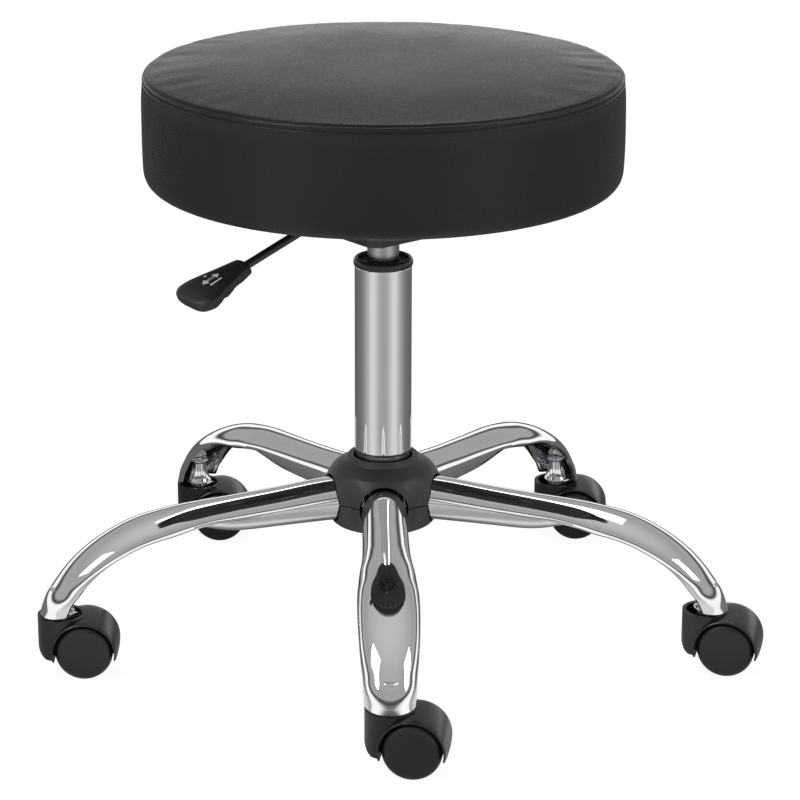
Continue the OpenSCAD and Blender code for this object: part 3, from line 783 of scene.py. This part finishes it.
# the shell's radius grows by swell around each mouth, falling away as a bell curve of the angle
def hubShell(name, outline, replaced):
    rows = filleted(outline, 1.2, 3)
    steps = 240
    a = np.arange(steps) * 2 * np.pi / steps
    turns = np.radians(np.array(base["armTurns"]))[:, None]
    gap = np.angle(np.exp(1j * (a[None, :] - turns)))
    bump = np.exp(-(gap / hub["bellWidth"]) ** 6).sum(axis=0)
    high = np.exp(-((rows[:, 1] - hub["armHeight"]) / hub["bellHeight"]) ** 4) * (rows[:, 0] > 44)
    r = rows[:, 0:1] + hub["swell"] * bump[None, :] * high[:, None]
    shell = solid(name, gridMesh(rings(r, rows[:, 1:2], a), closeRows=True))
    cutters = []
    for turn in base["armTurns"]:
        v, f = revolved([[hub["mouthRadius"], 34.0], [hub["mouthRadius"], 62.0]], 72, True)
        v = np.stack([v[:, 2], v[:, 0], v[:, 1] + hub["armHeight"]], -1)
        cutters.append((turned(v, turn), f))
    carve(shell, solid("mouthCutters", joinParts(cutters)))
    softEdges(shell, hub["edge"], 38, 3)
    return finishPiece(shell, finishes["hubPlastic"], "base", [replaced], 42)


hubShell("hubCoverUpper", hub["top"], "hub_cover_top")
hubShell("hubCoverLower", hub["bottom"], "hub_cover_bottom")
print("hub made")

# column: tube with a taper foot and rolled lip, black collar ring, brushed cylinder with a crimped end
column = {"tube": [[22.4, 98.4], [22.8, 112], [24.2, 171], [24.45, 172.6], [24.9, 173.8], [25, 175.5], [25, 341],
                   [24.7, 341.5], [23.3, 341.5], [23, 341.1], [23, 175.2], [22.3, 173.6], [20.5, 101.2], [5.6, 101], [5.5, 98], [22, 98]],
          "collar": [[25, 341.5], [25.7, 341.9], [26.1, 343.4], [26.0, 345.6], [25.3, 347.6], [24.2, 348.7], [23.1, 348.8],
                     [22.4, 348.1], [22.3, 347.4], [22.3, 341.6]],
          "cylinder": [[5.1, 112], [13.4, 112], [14, 112.7], [14, 375.6], [13.9, 376.6], [13.47, 391.7], [13.1, 392],
                       [4.2, 392], [4.05, 391.8], [4.05, 386.2], [12.4, 386], [12.5, 385.8], [12.5, 124.2], [12.3, 124],
                       [5.2, 124], [5.05, 123.8], [5.05, 112.2]]}
tube = solid("columnTube", revolved(filleted(column["tube"], 0.5, 3), 160))
finishPiece(tube, finishes["columnChrome"], "base", ["column_tube"], 50)
collar = solid("columnCollarRing", revolved(filleted(column["collar"], 0.8, 3), 128))
finishPiece(collar, finishes["collarPlastic"], "base", ["column_collar"], 60)
cylinder = solid("gasCylinder", revolved(filleted(column["cylinder"], 0.3, 2), 128))
finishPiece(cylinder, finishes["cylinderSteel"], "seat", ["gas_cylinder"], 50)
print("column made")

# casters: a hood domed over both wheels with a cup at the stem, and disc wheels with a rounded shoulder
caster = {"dome": [[27.3, -23.6], [27.9, -23.1], [28.2, -22], [28.5, -18], [28.85, -12], [29, -5], [29, 5], [28.85, 12], [28.5, 18],
                   [28.2, 22], [27.9, 23.1], [27.3, 23.6]],
          "cupRadius": 21.0, "cupTop": 54.3, "recessRadius": 17.6, "recessFloor": 46.0, "hoodFoot": 17.5, "heelFoot": 19.5,
          "toeRadius": 13.0,
          "wheelRoom": 26.5, "webHalf": 7.0, "stemBore": 5.05, "edge": 0.75,
          "wheel": [[0.6, 23.3], [6, 23.28], [12, 23.15], [17, 22.85], [19.6, 22.5], [21.4, 21.9], [22.9, 20.9], [24.1, 19.4],
                    [24.75, 17.6], [25, 15.6], [25, 12], [24.8, 10.2], [24.2, 8.8], [23.4, 8], [22.4, 7.9], [21.8, 8.3],
                    [21.2, 9.6], [20.7, 18.8], [19.8, 19.5], [8.2, 19.5], [7.1, 18.6], [7, 8], [6.6, 7.5], [3.5, 7.5],
                    [3.05, 7.9], [3.05, 21.2], [2.8, 21.5], [0.5, 21.5]],
          "socket": [[0.5, 76], [5.2, 76], [5.4, 75.8], [5.4, 56.5], [5.9, 56], [11.2, 56], [11.7, 56.3], [11.8, 56.9],
                     [11.2, 58.2], [10.1, 60.3], [9.0, 63.6], [8.1, 67.5], [7.5, 72], [7.0, 76], [6.3, 78.2], [5.0, 79.3], [0.5, 79.5]]}


def hoodTemplate():
    trail, axle = base["trail"], base["axleHeight"]
    body = solid("hoodTemplate", shifted(aboutAxle(caster["dome"], 128), trail, 0, axle))
    cup = solid("cup", revolved([[caster["cupRadius"], 9], [caster["cupRadius"], caster["cupTop"]]], 128, True))
    q = np.linspace(math.pi, 1.5 * math.pi, 17)
    c = caster["toeRadius"]
    centre = (c - caster["cupRadius"], caster["hoodFoot"] - 1 + c)
    curve = np.stack([centre[0] + c * np.cos(q), centre[1] + c * np.sin(q)], -1).tolist()
    toe = [[-40, centre[1] + 0.01], [-caster["cupRadius"] - 0.01, centre[1] + 0.01]] + curve + [[centre[0], -20], [-40, -20]]
    carve(cup, solid("toeCutter", slab(toe, -40, 40)))
    carve(body, cup, "UNION")
    recess = [[caster["recessRadius"], caster["recessFloor"]], [caster["recessRadius"], 80]]
    carve(body, solid("recess", revolved(recess, 128, True)))
    foot, heel = caster["hoodFoot"], caster["heelFoot"]
    carve(body, solid("footCutter", slab([[-50, -30], [80, -30], [80, heel], [30, heel], [12, foot], [-50, foot]], -60, 60)))
    for side in (-1, 1):
        room = [[caster["wheelRoom"], side * caster["webHalf"]], [caster["wheelRoom"], side * 40]]
        carve(body, solid("wheelRoom", shifted(aboutAxle(room, 128), trail, 0, axle)))
    carve(body, solid("bore", revolved([[caster["stemBore"], 29.5], [caster["stemBore"], 90]], 48, True)))
    softEdges(body, caster["edge"], 34, 3)
    return body


def makeCasters():
    hood = hoodTemplate()
    wheelPart = aboutAxle(filleted(caster["wheel"], 0.5, 2, closed=False), 120)
    wheels = {"a": solid("wheelA", wheelPart), "b": solid("wheelB", (wheelPart[0] * np.array([1, -1, 1]), wheelPart[1]))}
    bead = np.arange(40) * 2 * np.pi / 40
    tube = np.arange(10) * 2 * np.pi / 10
    ripple = 1 + 0.10 * np.sin(9 * bead)[:, None]
    around = 7.1 + 2.3 * ripple * np.cos(tube)
    weld = rings(around, 77.4 + 2.1 * ripple * np.sin(tube), bead[:, None])
    bellPart = revolved(filleted(caster["socket"], 0.5, 2, closed=False), 96, True)
    socket = solid("socketTemplate", joinParts([bellPart, gridMesh(weld, closeRows=True)]))
    for k, (armTurn, turn) in enumerate(zip(base["armTurns"], base["casterTurns"]), 1):
        a = math.radians(armTurn)
        x, y = base["stemCircle"] * math.cos(a), base["stemCircle"] * math.sin(a)
        h = math.radians(turn)
        cover = placedCopy(hood, f"caster{k}Hood", turn, (x, y, 0), finishes["hoodPlastic"], f"caster_{k}",
                           [f"caster_hood_{k}"])
        cover.data.set_sharp_from_angle(angle=math.radians(40))
        for side, template in wheels.items():
            hubPoint = (x + base["trail"] * math.cos(h), y + base["trail"] * math.sin(h), base["axleHeight"])
            wheel = placedCopy(template, f"caster{k}Wheel{side.upper()}", turn, hubPoint, finishes["wheelPlastic"],
                               f"wheel_{k}{side}", [f"caster_wheel_{k}{side}"])
            shadeSmooth(wheel, 50)
        bell = placedCopy(socket, f"caster{k}Socket", armTurn, (x, y, 0), finishes["socketChrome"], "base",
                          [f"caster_socket_{k}"])
        shadeSmooth(bell, 55)
    for template in [hood, socket] + list(wheels.values()):
        bpy.data.objects.remove(template)


makeCasters()
print("casters made")

# lever: distances along the sloping rod from its bend; widths and heights of the paddle at each
lever = {"turn": 218.0, "pivotRadius": 50.0, "pivotHeight": 400.1, "slope": 18.5, "rodRadius": 3.7,
         "gripRows": [[104.6, 4.0, 3.0, -3.2], [104.9, 8.0, 5.0, -5.0], [106, 10.2, 6.0, -5.6], [109, 11.2, 6.6, -6.0],
                      [118, 13.2, 7.0, -6.9], [126, 15.0, 7.2, -6.2], [132, 16.7, 7.3, -7.6], [138, 18.4, 7.3, -8.6],
                      [143, 19.8, 7.1, -6.8], [148.5, 21.2, 6.8, -8.6], [154, 22.0, 6.3, -9.6], [159, 22.0, 5.8, -8.4],
                      [163, 20.0, 5.2, -8.2], [166.2, 16.8, 4.4, -6.6], [168.2, 11.6, 2.8, -3.8], [168.8, 4.0, 0.8, -1.4]],
         "roll": 5.0,
         # printed sign: a double arrow, a bar and a dot, as outlines of distance along and across
         "sign": [[[131, 0], [135.5, 4.2], [135.5, 1.2], [144.5, 1.2], [144.5, 4.2], [149, 0], [144.5, -4.2], [144.5, -1.2],
                   [135.5, -1.2], [135.5, -4.2]],
                  [[134, 6.6], [146, 6.6], [146, 8.4], [134, 8.4]], [[138.8, -8.6], [141.2, -8.6], [141.2, -6.4], [138.8, -6.4]]]}


# lever's own frame: u along the slope, v across, w up from the rod; turned down by the slope, then about Z
def leverPoints(u, v, w):
    s = math.radians(lever["slope"])
    x = lever["pivotRadius"] + u * math.cos(s) + w * math.sin(s)
    z = lever["pivotHeight"] - u * math.sin(s) + w * math.cos(s)
    p = np.stack(np.broadcast_arrays(x, v, z), -1)
    return turned(p.reshape(-1, 3), lever["turn"]).reshape(p.shape)


# how far the paddle's roll lowers a point: grows across and along the paddle
def rollDrop(u, v):
    return math.tan(math.radians(lever["roll"])) * v * np.clip((u - 110) / 40, 0, 1)


# section of the paddle: a superellipse whose top and bottom heights differ
def makeGrip():
    rows = smoothRows(lever["gripRows"], 110)
    u, half, top, low = (rows[:, k:k + 1] for k in range(4))
    q = np.arange(72) * 2 * np.pi / 72
    c, s = np.cos(q)[None, :], np.sin(q)[None, :]
    v = half * np.sign(c) * np.abs(c) ** 0.62
    h = np.where(s > 0, top, -low)
    w = h * np.sign(s) * np.abs(s) ** 0.72 - rollDrop(u, v)
    grip = solid("leverGrip", gridMesh(leverPoints(np.broadcast_to(u, v.shape), v, w), capStart=True, capEnd=True))
    finishPiece(grip, finishes["gripPlastic"], "lever", ["lever_grip"])
    # the sign is a thin layer on the paddle's top: the same section formula, a little above and below it
    parts = []
    for outline in lever["sign"]:
        p = np.asarray(outline, float)
        widthThere = np.interp(p[:, 0], rows[:, 0], rows[:, 1])
        topThere = np.interp(p[:, 0], rows[:, 0], rows[:, 2])
        c = np.abs(p[:, 1] / widthThere) ** (1 / 0.62)
        surface = topThere * (1 - c ** 2) ** 0.36 - rollDrop(p[:, 0], p[:, 1])
        n = len(p)
        layers = np.vstack([leverPoints(p[:, 0], p[:, 1], surface + lift) for lift in (0.14, -0.25)])
        edge = [[k, n + k, n + (k + 1) % n, (k + 1) % n] for k in range(n)]
        parts.append((layers, [list(range(n)), list(range(n, 2 * n))[::-1]] + edge))
    sign = solid("leverSign", joinParts(parts))
    finishPiece(sign, finishes["print"], "lever", [], 30)


# the rod's direction at each distance: level, then eased over a short arc to the slope
def rodAngle(t):
    bend = np.clip((t - 42) / 16, 0, 1)
    return math.radians(lever["slope"]) * (3 * bend ** 2 - 2 * bend ** 3)


# the centre line adds up small steps in that direction; the section goes from a flat bar to round
def makeRod():
    t = np.concatenate([np.linspace(-4.5, 36, 14), np.linspace(38, 62, 18), np.linspace(66, 180, 20)])
    angle = rodAngle(t)
    fine = np.linspace(-4.5, 180, 3000)
    angleFine = rodAngle(fine)
    stepSize = fine[1] - fine[0]
    x = np.interp(t, fine, -4.5 + np.cumsum(np.cos(angleFine)) * stepSize)
    drop = np.interp(t, fine, np.cumsum(np.sin(angleFine)) * stepSize)
    round0 = np.clip((t - 30) / 14, 0, 1)
    round0 = round0 ** 2 * (3 - 2 * round0)
    halfV = 5 + (lever["rodRadius"] - 5) * round0
    halfW = 1.5 + (lever["rodRadius"] - 1.5) * round0
    power = 0.35 + 0.65 * round0
    q = np.arange(32) * 2 * np.pi / 32
    c, d = np.cos(q)[None, :], np.sin(q)[None, :]
    v = halfV[:, None] * np.sign(c) * np.abs(c) ** power[:, None]
    w = halfW[:, None] * np.sign(d) * np.abs(d) ** power[:, None]
    z0 = 401.0 + (lever["pivotHeight"] - 401.0) * round0
    p = np.stack([x[:, None] + w * np.sin(angle)[:, None], v, z0[:, None] - drop[:, None] + w * np.cos(angle)[:, None]], -1)
    rod = solid("leverRod", gridMesh(turned(p.reshape(-1, 3), lever["turn"]).reshape(p.shape), capStart=True, capEnd=True))
    finishPiece(rod, finishes["blackPaint"], "lever", ["lever_rod"], 60)


makeGrip()
makeRod()
print("lever made")

studio = {"lensLength": 138.3, "cameraPlace": (14.9, -2567.8, 1081.0), "cameraPitch": 18.59, "frameTurn": 1.52, "roll": 0.19,
          "floorTone": 0.93,
          # painted reflections: glow tones the floor shows only to mirrored rays, by direction round the stool
          "mirroredFloor": [(0.0, 0.12), (0.27, 0.17), (0.44, 0.21), (0.59, 0.34), (0.72, 0.52), (0.82, 0.78), (0.895, 0.8),
                            (0.953, 0.6), (0.985, 0.45), (1.0, 0.42)],
          "floorGlow": 0.8, "worldStrength": 0.62, "floorReach": 9000.0, "floorWhite": 1.14, "backgroundWhite": 1.05,
          "roomTones": [(0.0, 1.8), (0.15, 1.95), (0.2, 1.4), (0.235, 0.3), (0.28, 0.08), (0.325, 0.3), (0.37, 0.72), (0.6, 0.66),
                        (0.78, 0.8), (1.0, 1.0)],
          "lamps": [("softKey", (-1.9, -1.3, 2.3), 1.2, 26), ("softFill", (2.2, -1.0, 1.7), 1.0, 12),
                    ("softTop", (0.3, 1.2, 2.6), 1.4, 18)]}


# mixes two shaders by what kind of ray asks, and sends the result out
def pickByRay(t, ray, usual, forRay, out):
    path = t.nodes.new("ShaderNodeLightPath")
    pick = t.nodes.new("ShaderNodeMixShader")
    t.links.new(path.outputs[ray], pick.inputs[0])
    t.links.new(usual, pick.inputs[1])
    t.links.new(forRay, pick.inputs[2])
    t.links.new(pick.outputs[0], out.inputs[0])


# plain pale floor; what the polished tubes mirror of it is a painted glow, darker in front of and behind the stool than
# to its sides, standing in for studio shade and light
def makeFloor():
    s = studio["floorReach"]
    corners = np.array([[-s, -s, 0], [s, -s, 0], [s, s, 0], [-s, s, 0]])
    floor = meshObject("studioFloor", (corners, [[0, 1, 2, 3]]), smooth=False)
    f = makeFinish("studioPaper")
    t = f.tree
    tone = studio["floorTone"]
    f.colour(f.ramp(noiseNode(t, f.where, 3.0, 2.0), [(0.3, (tone,) * 3), (0.7, (tone + 0.01,) * 3)]))
    f.put(Roughness=0.9, Specular_IOR_Level=0.05)
    glow = t.nodes.new("ShaderNodeEmission")
    glow.inputs["Color"].default_value = (1, 1, 1, 1)
    glow.inputs["Strength"].default_value = studio["floorWhite"]
    seen = t.nodes.new("ShaderNodeMixShader")
    seen.inputs[0].default_value = studio["floorGlow"]
    t.links.new(f.shader.outputs[0], seen.inputs[1])
    t.links.new(glow.outputs[0], seen.inputs[2])
    parts = t.nodes.new("ShaderNodeSeparateXYZ")
    flat = t.nodes.new("ShaderNodeVectorMath")
    flat.operation = "NORMALIZE"
    t.links.new(f.where, flat.inputs[0])
    t.links.new(flat.outputs[0], parts.inputs[0])
    front = mathNode(t, "MULTIPLY_ADD", parts.outputs["Y"], -0.5)
    front.node.inputs[2].default_value = 0.5
    # painted reflection: for mirrored rays the floor glows darker in front of and behind the stool and brighter to its
    # sides
    paintedMirrorGlow = f.ramp(front, [(at, (tone2,) * 3) for at, tone2 in studio["mirroredFloor"]])
    mirrored = t.nodes.new("ShaderNodeEmission")
    t.links.new(paintedMirrorGlow, mirrored.inputs["Color"])
    out = [n for n in t.nodes if n.bl_idname == "ShaderNodeOutputMaterial"][0]
    pickByRay(t, "Is Glossy Ray", seen.outputs[0], mirrored.outputs[0], out)
    floor.data.materials.append(f.material)


# soft room: bright low round the horizon, a narrow dark band above it, then an even mid tone; the camera itself sees plain white
def makeWorld():
    world = bpy.data.worlds.new("studioWorld")
    bpy.context.scene.world = world
    world.use_nodes = True
    t = world.node_tree
    t.nodes.clear()
    out = t.nodes.new("ShaderNodeOutputWorld")
    room = t.nodes.new("ShaderNodeBackground")
    plain = t.nodes.new("ShaderNodeBackground")
    plain.inputs["Color"].default_value = (1, 1, 1, 1)
    plain.inputs["Strength"].default_value = studio["backgroundWhite"]
    where = t.nodes.new("ShaderNodeTexCoord")
    parts = t.nodes.new("ShaderNodeSeparateXYZ")
    t.links.new(where.outputs["Generated"], parts.inputs[0])
    ramp = t.nodes.new("ShaderNodeValToRGB")
    t.links.new(parts.outputs["Z"], ramp.inputs[0])
    stops = studio["roomTones"]
    while len(ramp.color_ramp.elements) < len(stops):
        ramp.color_ramp.elements.new(0.5)
    for e, (place, tone) in zip(ramp.color_ramp.elements, stops):
        e.position = place
        e.color = (tone, tone, tone * 1.01, 1)
    t.links.new(ramp.outputs["Color"], room.inputs["Color"])
    room.inputs["Strength"].default_value = studio["worldStrength"]
    pickByRay(t, "Is Camera Ray", room.outputs[0], plain.outputs[0], out)


def makeLights():
    scene = bpy.context.scene
    for name, place, size, power in studio["lamps"]:
        light = bpy.data.lights.new(name, "AREA")
        light.size = size
        light.energy = power
        lamp = bpy.data.objects.new(name, light)
        scene.collection.objects.link(lamp)
        lamp.location = place
        lamp.rotation_euler = (Vector((0, 0, 0.3)) - Vector(place)).to_track_quat("-Z", "Y").to_euler()


def makeCamera():
    scene = bpy.context.scene
    camera = bpy.data.cameras.new("studioCamera")
    camera.lens = studio["lensLength"]
    camera.sensor_width = 36.0
    rig = bpy.data.objects.new("studioCamera", camera)
    scene.collection.objects.link(rig)
    turn = Matrix.Rotation(math.radians(-studio["frameTurn"]), 4, "Z")
    tip = Matrix.Rotation(math.radians(90 - studio["cameraPitch"]), 4, "X") @ Matrix.Rotation(math.radians(studio["roll"]), 4, "Z")
    rig.matrix_world = turn @ Matrix.Translation(Vector(studio["cameraPlace"]) * mm) @ tip
    scene.camera = rig
    scene.view_settings.view_transform = "Standard"


makeFloor()
makeWorld()
makeLights()
makeCamera()
print("studio made")
